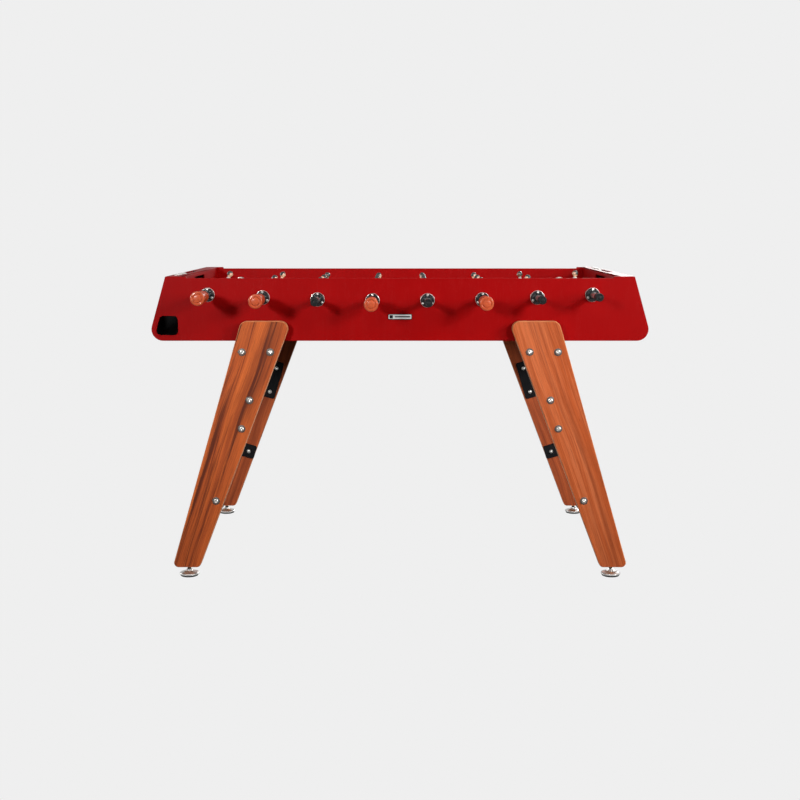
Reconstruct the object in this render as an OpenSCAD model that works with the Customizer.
// Foosball table: a slanted steel body on four splayed timber legs, with eight
// sliding and spinning player rods, score beads, ball returns and levelling feet.
// Origin on the floor under the middle of the table. X runs along the table,
// Y across it with the front at -Y, and Z is up. Millimetres.

/* [Body] */
// Distance between the outer faces of the two long side panels
body_w = 760; // [700:10:800]
// Half length of the body at its top rim
top_half = 700; // [690:1:710]
// Height of the top rim above the floor
rim_h = 913; // [905:1:925]
// Height of the lower edge of the side panels above the floor
panel_bottom = 720.5; // [715:0.5:722]
// How far the side panels' long top edge lies below the rim
panel_drop = 5; // [3:1:8]
// Length of the raised ear at each end of a side panel's top edge
ear_len = 64; // [50:1:80]
// Lean of the body's ends and of the legs' outer edges, from upright
end_lean = 16.5; // [14:0.5:18]
// Radius of the side panels' lower corners
corner_r = 34; // [20:1:45]
// Thickness of the side panels
panel_t = 4; // [3:0.5:5]
// Thickness of the end sheets
sheet_t = 3; // [2:0.5:4]
// Width of the flat flange along the top of each end
flange_w = 40; // [38:1:41]

/* [Playing field] */
// Height of the rod axes in the middle of the table
rod_low = 841.5; // [838:0.5:845]
// Radius of the shallow arc that the rods and the field follow
arc_r = 9700; // [9000:100:12000]
// Distance from a rod's axis down to the field
field_drop = 73; // [72:0.5:76]
// Thickness of the field board
field_t = 12; // [9:1:15]
// Distance from the table's middle to the inner face of each goal wall
goal_x = 660; // [655:1:661]
// Width of a goal mouth
goal_w = 190; // [160:5:220]
// Height of a goal mouth's upper edge above the floor
goal_top = 899; // [880:1:902]

/* [Rods] */
// Distance between neighbouring rods
rod_pitch = 164.2; // [160:0.2:168]
// Radius of a rod
rod_r = 8; // [7:0.5:8.5]
// How far a rod slides each way from the middle
rod_travel = 62; // [50:1:62]
// Distance from the panel's outer face to a handle's tip
grip_reach = 187; // [180:1:195]
// Distance from the panel's outer face to a rod cap's tip
cap_reach = 133; // [125:1:140]
// Largest radius of a handle
grip_r = 21.5; // [18:0.5:23]
// Radius of a bearing's outer flange
bearing_r = 21.5; // [20:0.5:24]

/* [Players] */
// Height of a player's crown above the rod's axis
crown_h = 57; // [50:1:60]
// Depth of a player's sole below the rod's axis
sole_h = 68; // [60:1:69]
// Width of a player's shoulders
shoulder_w = 34; // [28:1:38]

/* [Legs] */
// Thickness of a leg
leg_t = 28; // [24:1:32]
// Gap between a leg and the side panel
leg_gap = 6; // [4:1:8]
// Height of a leg's top edge
leg_top = 782; // [775:1:790]
// Height of a leg's bottom edge
leg_bottom = 28; // [24:1:34]
// Distance from the table's middle to a leg's inner top corner
leg_inner_top = 323; // [315:1:330]
// Distance from the table's middle to a leg's inner bottom corner
leg_inner_bottom = 613; // [600:1:620]
// Distance from the table's middle to a leg's outer bottom corner
leg_outer_bottom = 696; // [690:1:700]
// Radius of a levelling foot's disc
foot_r = 29.5; // [25:0.5:32]

/* [Hidden] */
$fn = 48;
eps = 0.01;
bolt_fn = 32;

// Places that follow from the sizes above
slope = tan(end_lean);
half_w = body_w / 2;
inner_w = half_w - panel_t;
panel_top = rim_h - panel_drop;
bottom_half = top_half + slope * (rim_h - panel_bottom);
flange_x = top_half - flange_w;

// Rod arc: height of a rod's axis and of the field at distance x from the middle
function rod_z(x) = rod_low + x * x / (2 * arc_r);
function field_z(x) = rod_z(x) - field_drop;
function rod_x(k) = (k - 4.5) * rod_pitch;

// Which rods belong to the front team, how many players each has, how far apart they stand,
// and how far they lean forward at rest
front_rods = [1, 2, 4, 6];
player_count = [1, 2, 3, 5, 5, 3, 2, 1];
player_gap = [0, 262, 180, 118, 118, 180, 262, 0];
player_lean = [17, 13, 4, 9, 5, 9, 3, -4];
function is_front(k) = len([for (f = front_rods) if (f == k) f]) > 0;

// Rod fittings, measured from the middle of the table along Y
fit_gap = 0.05;
flange_out = 8;
nose_out = 12;
ring_t = 6;
screw_angles = [-90, 30, 150];
screw_pcr = 16.5;
screw_hole_r = 2.2;
panel_hole_r = 14;
nose_in = 10;
stop_gap = 1;
bumper_end = inner_w - nose_in - rod_travel - stop_gap;
bumper_len = 23;
collar_len = 9;
collar_r = 12;
grip_tip = half_w + grip_reach;
grip_inner = half_w + nose_out + rod_travel + stop_gap;
grip_len = grip_tip - grip_inner;
cap_tip = half_w + cap_reach;
cap_len = 35;
cap_r = 12.3;
grip_bore = 88;

// Legs, bolts and feet
leg_face = half_w + leg_gap;
leg_outer_top = leg_outer_bottom - slope * (leg_top - leg_bottom);
leg_inner_slope = (leg_inner_bottom - leg_inner_top) / (leg_top - leg_bottom);
bolt_r = 4;
head_r = 8;
head_h = 4.5;
washer_r = 11.5;
washer_t = 1.5;
plate_t = 5;
bracket_inset = 8;
bracket_low = 664;
shelf_in = 44;
shelf_t = 5;
foot_x = 647;
foot_y = leg_face + leg_t / 2;
stud_r = 5;
stud_len = 32;
// Bolt places on a leg: the body bracket's pair, the upper plate's pair and the lower plate's one
bracket_bolts = [[386.4, 690], [470.8, 690]];
upper_bolts = [[450.8, 545], [476.4, 458.3]];
lower_bolt = [558, 236.4];

// Score counter, laid out for the left end
slot_x = 683;
slot_w = 18;
slot_from = -306;
slot_to = 60;
bead_r = 8;
bead_len = 15;
bead_count = 10;
bead_z = rim_h - panel_drop;
wire_r = 2;
tray_depth = 12;
block_len = 6;

// Ball outlet and return
outlet_x = 665;
outlet_w = 62;
outlet_low = 737.5;
outlet_high = 795.5;
outlet_r = 13;
return_x = 665;
return_w = 66;
return_front = 734;
return_back = 757;
return_end = 112;

// ---- helpers -------------------------------------------------------------

// Puts children at both ends: once as drawn and once turned half a turn about Z
module both_turned() { for (a = [0, 180]) rotate([0, 0, a]) children(); }

// Places children at the three screws around a bearing's axis
module at_screws() {
    for (a = screw_angles) rotate([0, a, 0]) translate([screw_pcr, 0, 0]) children();
}

// Turns children half a turn when the flag is set
module turned(flag) { rotate([0, 0, flag ? 180 : 0]) children(); }

// Stands a flat outline drawn in X and Z up in the XZ plane, from y to y + t
module upright(y, t) { translate([0, y + t, 0]) rotate([90, 0, 0]) linear_extrude(height = t) children(); }

// A cylinder along +Y from y0 to y1
module along_y(y0, y1, r, fn = 48) {
    translate([0, y0, 0]) rotate([-90, 0, 0]) cylinder(h = y1 - y0, r = r, $fn = fn);
}

// A cone frustum along +Y from y0 to y1
module cone_y(y0, y1, ra, rb, fn = 48) {
    translate([0, y0, 0]) rotate([-90, 0, 0]) cylinder(h = y1 - y0, r1 = ra, r2 = rb, $fn = fn);
}

// Points of the arc that rounds the corner at b between the points a and c
function unit(v) = v / norm(v);
function round_corner(a, b, c, r, n) =
    let (u = unit(a - b), v = unit(c - b))
    let (half = acos(u * v) / 2, reach = r / tan(half), mid = b + unit(u + v) * r / sin(half))
    let (p = b + u * reach, q = b + v * reach)
    let (start = atan2(p[1] - mid[1], p[0] - mid[0]), turn = atan2(q[1] - mid[1], q[0] - mid[0]) - start)
    let (sweep = turn > 180 ? turn - 360 : turn < -180 ? turn + 360 : turn)
    [for (i = [0:n]) mid + r * [cos(start + sweep * i / n), sin(start + sweep * i / n)]];

// A closed outline whose corners are rounded by the radii in rs; a radius of 0 stays sharp
function rounded(pts, rs, n = 8) = [
    for (i = [0:len(pts) - 1])
        let (a = pts[(i + len(pts) - 1) % len(pts)], b = pts[i], c = pts[(i + 1) % len(pts)])
        for (p = rs[i] > 0 ? round_corner(a, b, c, rs[i], n) : [b]) p];

// ---- body ----------------------------------------------------------------

function panel_outline() = rounded(
    [[-bottom_half, panel_bottom], [bottom_half, panel_bottom], [top_half, rim_h],
     [top_half - ear_len + 2, rim_h], [top_half - ear_len, panel_top],
     [-top_half + ear_len, panel_top], [-top_half + ear_len - 2, rim_h], [-top_half, rim_h]],
    [corner_r, corner_r, 3, 1, 1, 1, 1, 3]);

// The ball outlet in a panel, at the left end seen from the front
function outlet_outline(grow) =
    let (mid = (outlet_low + outlet_high) / 2)
    rounded(
        [[-outlet_x - outlet_w - slope * (mid - outlet_low) - grow, outlet_low - grow],
         [-outlet_x + grow, outlet_low - grow], [-outlet_x + grow, outlet_high + grow],
         [-outlet_x - outlet_w + slope * (outlet_high - mid) - grow, outlet_high + grow]],
        [for (i = [0:3]) outlet_r + grow]);

// A side panel drawn as the front one: plate, folded lower edge and raised outlet rim
module side_panel() {
    fold = 30;
    fold_reach = goal_x - 5;
    rim_w = 3;
    rim_out = 1;
    difference() {
        union() {
            upright(-half_w, panel_t) polygon(panel_outline());
            translate([-fold_reach, -inner_w - eps, panel_bottom])
                cube([2 * fold_reach, fold + eps, sheet_t]);
            upright(-half_w - rim_out, rim_out + eps) polygon(outlet_outline(rim_w));
        }
        upright(-half_w - 10, 30) polygon(outlet_outline(0));
        for (k = [1:8]) translate([rod_x(k), 0, rod_z(rod_x(k))]) {
            along_y(-half_w - 5, -inner_w + 5, panel_hole_r);
            at_screws() along_y(-half_w - 5, -inner_w + 5, screw_hole_r, bolt_fn);
        }
    }
}
module front_panel() { color("firebrick") side_panel(); }
module back_panel() { color("firebrick") rotate([0, 0, 180]) side_panel(); }

// The folded end sheet, drawn for the left end: flange, slanted wall and curled lower edge
module end_panel() {
    curl = 90;
    outer = rounded(
        [[-flange_x, rim_h], [-top_half, rim_h], [-bottom_half, panel_bottom],
         [-bottom_half + curl, panel_bottom]],
        [0, 3, corner_r, 0]);
    low = panel_bottom + sheet_t;
    inset = sheet_t / cos(end_lean);
    inner = rounded(
        [[-bottom_half + curl, low], [-bottom_half + inset + slope * sheet_t, low],
         [-top_half + inset - slope * panel_drop, panel_top], [-flange_x, panel_top]],
        [0, corner_r - sheet_t, 1, 0]);
    difference() {
        upright(-inner_w, 2 * inner_w) polygon(concat(outer, inner));
        translate([-slot_x - slot_w / 2, slot_from, panel_top - 5])
            cube([slot_w, slot_to - slot_from, 20]);
    }
}
module end_panel_left() { color("firebrick") end_panel(); }
module end_panel_right() { color("firebrick") rotate([0, 0, 180]) end_panel(); }

// The goal wall between the field and the ball return, drawn for the left end
module goal_wall() {
    sill = field_z(goal_x);
    wall_w = 2 * inner_w - 1;
    difference() {
        translate([-goal_x - sheet_t, -wall_w / 2, panel_bottom + sheet_t + 8])
            cube([sheet_t, wall_w, panel_top - panel_bottom - sheet_t - 8]);
        translate([-goal_x + 5, 0, 0]) rotate([90, 0, -90]) linear_extrude(height = 20)
            polygon(rounded([[-goal_w / 2, sill], [goal_w / 2, sill], [goal_w / 2, goal_top],
                [-goal_w / 2, goal_top]], [0, 0, 8, 8]));
    }
}
module goal_left() { color("firebrick") goal_wall(); }
module goal_right() { color("firebrick") rotate([0, 0, 180]) goal_wall(); }

// The field board, dished along its length
module playfield() {
    steps = 24;
    reach = goal_x - 0.5;
    top = [for (i = [0:steps]) let (x = -reach + 2 * reach * i / steps) [x, field_z(x)]];
    low = [for (i = [steps:-1:0]) let (x = -reach + 2 * reach * i / steps) [x, field_z(x) - field_t]];
    color("seagreen") upright(-inner_w + 0.5, 2 * inner_w - 1) polygon(concat(top, low));
}

// Box-section beams that carry the field between the side panels
module field_beams() {
    beam_w = 40;
    beam_h = 20;
    wall = 2;
    color("dimgray") for (x = [-630, -330, 0, 330, 630])
        translate([x - beam_w / 2, -inner_w + 0.5, field_z(abs(x) - beam_w / 2) - field_t - beam_h - 0.3])
            difference() {
                cube([beam_w, 2 * inner_w - 1, beam_h]);
                translate([wall, -1, wall]) cube([beam_w - 2 * wall, 2 * inner_w + 2, beam_h - 2 * wall]);
            }
}

// The sloping channel that brings a ball to the outlet, drawn for the left end
module ball_return() {
    wall = 2;
    side = [[-inner_w + 0.5, return_front], [return_end, return_back], [return_end, 789],
        [-inner_w + 0.5, 789]];
    hollow = [[-inner_w - 1, return_front + wall], [return_end - wall, return_back + wall],
        [return_end - wall, 800], [-inner_w - 1, 800]];
    difference() {
        translate([-return_x - return_w, 0, 0]) rotate([90, 0, 90]) linear_extrude(height = return_w)
            polygon(side);
        translate([-return_x - return_w + wall, 0, 0]) rotate([90, 0, 90])
            linear_extrude(height = return_w - 2 * wall) polygon(hollow);
    }
}
module ball_returns() { color("black") both_turned() ball_return(); }

// ---- rod bearings --------------------------------------------------------

// Places children at every bearing on the front panel, then at those on the back panel
module at_bearings() {
    both_turned() for (k = [1:8]) translate([rod_x(k), 0, rod_z(rod_x(k))]) children();
}

// Nylon bushes: outer flange, nose and a sleeve that goes through the panel
module bearings() {
    color("black") at_bearings() difference() {
        union() {
            cone_y(-half_w - flange_out, -half_w, bearing_r - 2, bearing_r);
            cone_y(-half_w - nose_out, -half_w - flange_out + eps, 11.5, 13);
            along_y(-half_w - eps, -inner_w + nose_in, 13.5);
        }
        along_y(-half_w - 30, -inner_w + 30, rod_r + fit_gap);
        at_screws() along_y(-half_w - 30, -inner_w + 30, screw_hole_r, bolt_fn);
    }
}

// Steel rings that clamp the bushes from inside the panels
module bearing_rings() {
    color("silver") at_bearings() difference() {
        cone_y(-inner_w, -inner_w + ring_t, 20, 18);
        along_y(-inner_w - 1, -inner_w + ring_t + 1, 13.6);
        at_screws() along_y(-half_w - 30, -inner_w + 30, screw_hole_r, bolt_fn);
    }
}

// Three round-headed screws through each bush and its ring
module bearing_screws() {
    color("gainsboro") at_bearings() at_screws() {
        cone_y(-half_w - flange_out - 2.4, -half_w - flange_out, 2.6, 3.9, bolt_fn);
        along_y(-half_w - flange_out - eps, -inner_w + ring_t, 2.1, bolt_fn);
    }
}

// ---- score counters ------------------------------------------------------

// Wire, tray and end blocks of one counter, drawn for the left end
module score_rail() {
    wall = 1.5;
    low = panel_top - tray_depth;
    translate([-slot_x - slot_w / 2 - wall, slot_from - wall, low]) difference() {
        cube([slot_w + 2 * wall, slot_to - slot_from + 2 * wall, tray_depth - 0.1]);
        translate([wall, wall, wall]) cube([slot_w, slot_to - slot_from, tray_depth]);
    }
    for (y = [slot_from + 0.1, slot_to - block_len - 0.1])
        translate([-slot_x - slot_w / 2 + 0.1, y, low + wall - eps])
            cube([slot_w - 0.2, block_len, rim_h - 1 - low - wall]);
    translate([-slot_x, 0, bead_z])
        along_y(slot_from + block_len / 2, slot_to - block_len / 2, wire_r, bolt_fn);
}
module score_rails() { color("darkslategray") both_turned() score_rail(); }

// Ten beads pushed to the near end of their wire
module score_beads() {
    translate([-slot_x, slot_from + block_len + 1, bead_z]) for (i = [0:bead_count - 1])
        difference() {
            along_y(i * bead_len, (i + 1) * bead_len - 0.4, bead_r);
            along_y(i * bead_len - 1, (i + 1) * bead_len + 1, wire_r + fit_gap, bolt_fn);
        }
}
module score_beads_left() { color("ivory") score_beads(); }
module score_beads_right() { color("ivory") rotate([0, 0, 180]) score_beads(); }

// Blank plate in the middle of the front panel
module name_plate() {
    plate_w = 72;
    plate_h = 17;
    corners = [[-plate_w / 2, -plate_h / 2], [plate_w / 2, -plate_h / 2], [plate_w / 2, plate_h / 2],
        [-plate_w / 2, plate_h / 2]];
    color("gainsboro") translate([0, 0, 793]) upright(-half_w - 1.6, 1.6)
        polygon(rounded(corners, [3, 3, 3, 3]));
}

// ---- legs ----------------------------------------------------------------

// Places children, drawn for the right leg in front, at the leg (sx, sy)
module at_leg(sx, sy) {
    mirror([sx < 0 ? 1 : 0, 0, 0]) mirror([0, sy > 0 ? 1 : 0, 0]) children();
}

module at_legs() { for (sx = [-1, 1]) for (sy = [-1, 1]) at_leg(sx, sy) children(); }

// All bolt places on one leg
leg_bolt_places = concat(bracket_bolts, upper_bolts, [lower_bolt]);

// Runs children at a bolt place, which is given as [x, z]
module at_bolt(p) { translate([p[0], 0, p[1]]) children(); }

module leg() {
    outline = rounded(
        [[leg_inner_bottom, leg_bottom], [leg_outer_bottom, leg_bottom], [leg_outer_top, leg_top],
         [leg_inner_top, leg_top]], [14, 14, 23, 23]);
    difference() {
        upright(-leg_face - leg_t, leg_t) polygon(outline);
        for (p = leg_bolt_places)
            at_bolt(p) along_y(-leg_face - leg_t - 5, -leg_face + 5, bolt_r + 0.1, bolt_fn);
        translate([foot_x, -foot_y, leg_bottom - 5])
            cylinder(h = 5 + stud_len + 12, r = stud_r + fit_gap, $fn = bolt_fn);
    }
}
module leg_front_left() { color("sienna") at_leg(-1, -1) leg(); }
module leg_front_right() { color("sienna") at_leg(1, -1) leg(); }
module leg_back_left() { color("sienna") at_leg(-1, 1) leg(); }
module leg_back_right() { color("sienna") at_leg(1, 1) leg(); }

// The steel bracket that fills the gap behind a leg, with a shelf under the body's folded edge
module leg_bracket() {
    function inner_x(z) = leg_inner_top + leg_inner_slope * (leg_top - z) + bracket_inset;
    function outer_x(z) = leg_outer_top + slope * (leg_top - z) - bracket_inset;
    high = leg_top - bracket_inset;
    shelf_x = inner_x(panel_bottom);
    difference() {
        union() {
            upright(-leg_face, leg_gap) polygon(rounded(
                [[inner_x(bracket_low), bracket_low], [outer_x(bracket_low), bracket_low],
                 [outer_x(high), high], [inner_x(high), high]], [10, 10, 16, 16]));
            translate([shelf_x, -half_w - eps, panel_bottom - shelf_t])
                cube([outer_x(panel_bottom) - shelf_x - 8, shelf_in, shelf_t]);
        }
        for (p = bracket_bolts) at_bolt(p) along_y(-leg_face - 5, -half_w + 5, bolt_r + 0.1, bolt_fn);
    }
}
module leg_brackets() { color("dimgray") at_legs() leg_bracket(); }

// A backing plate on a leg's inner face, turned to run along the leg's outer edge
module backing_plate(mid, w, h, holes) {
    corners = [[-w / 2, -h / 2], [w / 2, -h / 2], [w / 2, h / 2], [-w / 2, h / 2]];
    difference() {
        translate([mid[0], 0, mid[1]]) rotate([0, -end_lean, 0]) upright(-leg_face, plate_t)
            polygon(rounded(corners, [7, 7, 7, 7]));
        for (p = holes) at_bolt(p) along_y(-leg_face - 5, -leg_face + plate_t + 5, bolt_r + 0.1, bolt_fn);
    }
}
upper_mid = (upper_bolts[0] + upper_bolts[1]) / 2 + [9, 3];
module leg_plates() {
    color("black") at_legs() {
        backing_plate(upper_mid, 62, 138, upper_bolts);
        backing_plate(lower_bolt, 48, 50, [lower_bolt]);
    }
}

// One bolt with its washer; reach is how far the shank goes behind the leg's inner face
module leg_bolt(reach) {
    face = -leg_face - leg_t;
    along_y(face - washer_t, face, washer_r, bolt_fn);
    difference() {
        union() {
            cone_y(face - washer_t - head_h, face - washer_t - 1.5, 5.2, head_r, bolt_fn);
            along_y(face - washer_t - 1.5 - eps, face - washer_t + eps, head_r, bolt_fn);
        }
        along_y(face - washer_t - head_h - 1, face - washer_t - 1.5, 3, 6);
    }
    along_y(face - washer_t, -leg_face + reach, bolt_r, bolt_fn);
}
module leg_bolts() {
    color("silver") at_legs() {
        for (p = bracket_bolts) at_bolt(p) leg_bolt(leg_gap);
        for (p = concat(upper_bolts, [lower_bolt])) at_bolt(p) leg_bolt(plate_t);
    }
}

// Dome nuts on the inner ends of the bolts, and the backing plates' short side screws
module leg_nut(y) {
    translate([0, y, 0]) rotate([-90, 0, 0]) cylinder(h = 6, r = 7.5, $fn = 6);
    translate([0, y, 0]) rotate([-90, 0, 0]) cylinder(h = 10, r1 = 6.2, r2 = 3.6, $fn = bolt_fn);
}
module leg_nuts() {
    side_step = [cos(end_lean), sin(end_lean)] * 19;
    color("silver") at_legs() {
        for (p = bracket_bolts) at_bolt(p) leg_nut(-half_w);
        for (p = concat(upper_bolts, [lower_bolt])) at_bolt(p) leg_nut(-leg_face + plate_t);
        for (p = upper_bolts)
            at_bolt(p + side_step) cone_y(-leg_face + plate_t, -leg_face + plate_t + 2.5, 4, 2, bolt_fn);
    }
}

// A levelling foot: rubber-soled disc, dome, stem and threaded stud
module foot(sx, sy) {
    sole_t = 4.5;
    disc_t = 5;
    color("silver") translate([sx * foot_x, sy * foot_y, 0]) {
        cylinder(h = sole_t + eps, r = foot_r - 2.5);
        translate([0, 0, sole_t]) cylinder(h = disc_t, r = foot_r);
        translate([0, 0, sole_t + disc_t - eps]) cylinder(h = 6, r1 = foot_r - 1.5, r2 = 12);
        translate([0, 0, sole_t + disc_t]) cylinder(h = leg_bottom - 2 - sole_t - disc_t, r = 8.5);
        translate([0, 0, leg_bottom - 3]) cylinder(h = stud_len + 3, r = stud_r, $fn = bolt_fn);
    }
}
module foot_front_left() { foot(-1, -1); }
module foot_front_right() { foot(1, -1); }
module foot_back_left() { foot(-1, 1); }
module foot_back_right() { foot(1, 1); }

// ---- rods ----------------------------------------------------------------

// Places children, drawn with the handle towards -Y and players facing +X, on rod k
module on_rod(k) {
    translate([rod_x(k), 0, rod_z(rod_x(k))]) turned(!is_front(k)) children();
}

// The steel rod with its two stop collars
module rod(k) {
    color("lightgray") on_rod(k) {
        along_y(-grip_inner - grip_bore + 1, cap_tip - 6, rod_r);
        for (y = [-bumper_end + bumper_len + 1, bumper_end - bumper_len - 1 - collar_len])
            along_y(y, y + collar_len, collar_r);
    }
}

// The turned timber handle; its profile starts at the inner end
module grip(k) {
    profile = [
        for (i = [0:16]) let (t = i / 16)
            [14.5 + 3.2 * sin(180 * min(1, t / 0.62)) + (grip_r - 14.5) * pow(max(0, (t - 0.42) / 0.58), 1.2)
                * (t > 0.9 ? sqrt(1 - pow((t - 0.9) / 0.1 * 0.85, 2)) : 1), t * grip_len]];
    color("chocolate") on_rod(k) translate([0, -grip_inner, 0]) rotate([90, 0, 0])
        rotate_extrude() polygon(concat(
            [[rod_r, grip_bore], [rod_r, 0]], profile, [[0, grip_len], [0, grip_bore]]));
}

// Two rubber bumpers and the safety cap, which turn freely on the rod
module rubbers(k) {
    bore = rod_r + fit_gap;
    color("black") on_rod(k) {
        for (s = [0, 1]) mirror([0, s, 0]) difference() {
            union() {
                along_y(bumper_end - bumper_len, bumper_end, 12.5);
                along_y(bumper_end - bumper_len, bumper_end - bumper_len + 8, 14);
                along_y(bumper_end - 8, bumper_end, 14);
            }
            along_y(bumper_end - bumper_len - 1, bumper_end + 1, bore);
        }
        difference() {
            union() {
                cone_y(cap_tip - cap_len, cap_tip - 5, cap_r - 1.3, cap_r);
                cone_y(cap_tip - 5, cap_tip, cap_r, cap_r - 2.5);
            }
            along_y(cap_tip - cap_len - 1, cap_tip - 6 + 0.2, bore);
        }
    }
}

// One player facing +X, with its middle on the rod's axis
module player() {
    head_rad = 9.5;
    torso = [[-10, -14], [9, -14], [11, 20], [8, 33], [-8, 33], [-11, 22]];
    legs = [[-9, -10], [9, -10], [7, -44], [8, -56], [15, -61], [15, -sole_h], [-8, -sole_h], [-8, -44]];
    difference() {
        union() {
            along_y(-13, 13, 14);
            upright(-shoulder_w / 2, shoulder_w) polygon(torso);
            upright(-12, 24) polygon(legs);
            translate([0, 0, 30]) cylinder(h = 12, r = 5.5, $fn = bolt_fn);
            translate([0, 0, crown_h - head_rad]) sphere(r = head_rad);
        }
        along_y(-30, 30, rod_r);
    }
}

// The players of rod k, evenly spaced about the middle: grey keepers, and one shirt for each team
module figures(k) {
    n = player_count[k - 1];
    gap = player_gap[k - 1];
    shirt = k == 1 || k == 8 ? "lightgray" : is_front(k) ? "salmon" : "whitesmoke";
    color(shirt) on_rod(k)
        for (i = [0:n - 1]) translate([0, (i - (n - 1) / 2) * gap, 0])
            rotate([0, player_lean[k - 1], 0]) player();
}

// ---- the parts -----------------------------------------------------------

front_panel();
back_panel();
end_panel_left();
end_panel_right();
goal_left();
goal_right();
playfield();
field_beams();
ball_returns();
bearings();
bearing_rings();
bearing_screws();
score_rails();
score_beads_left();
score_beads_right();
name_plate();
leg_front_left();
leg_front_right();
leg_back_left();
leg_back_right();
leg_brackets();
leg_plates();
leg_bolts();
leg_nuts();
foot_front_left();
foot_front_right();
foot_back_left();
foot_back_right();
rod(1);  // rod_1
rod(2);  // rod_2
rod(3);  // rod_3
rod(4);  // rod_4
rod(5);  // rod_5
rod(6);  // rod_6
rod(7);  // rod_7
rod(8);  // rod_8
figures(1);  // figures_1
figures(2);  // figures_2
figures(3);  // figures_3
figures(4);  // figures_4
figures(5);  // figures_5
figures(6);  // figures_6
figures(7);  // figures_7
figures(8);  // figures_8
grip(1);  // grip_1
grip(2);  // grip_2
grip(3);  // grip_3
grip(4);  // grip_4
grip(5);  // grip_5
grip(6);  // grip_6
grip(7);  // grip_7
grip(8);  // grip_8
rubbers(1);  // rubbers_1
rubbers(2);  // rubbers_2
rubbers(3);  // rubbers_3
rubbers(4);  // rubbers_4
rubbers(5);  // rubbers_5
rubbers(6);  // rubbers_6
rubbers(7);  // rubbers_7
rubbers(8);  // rubbers_8
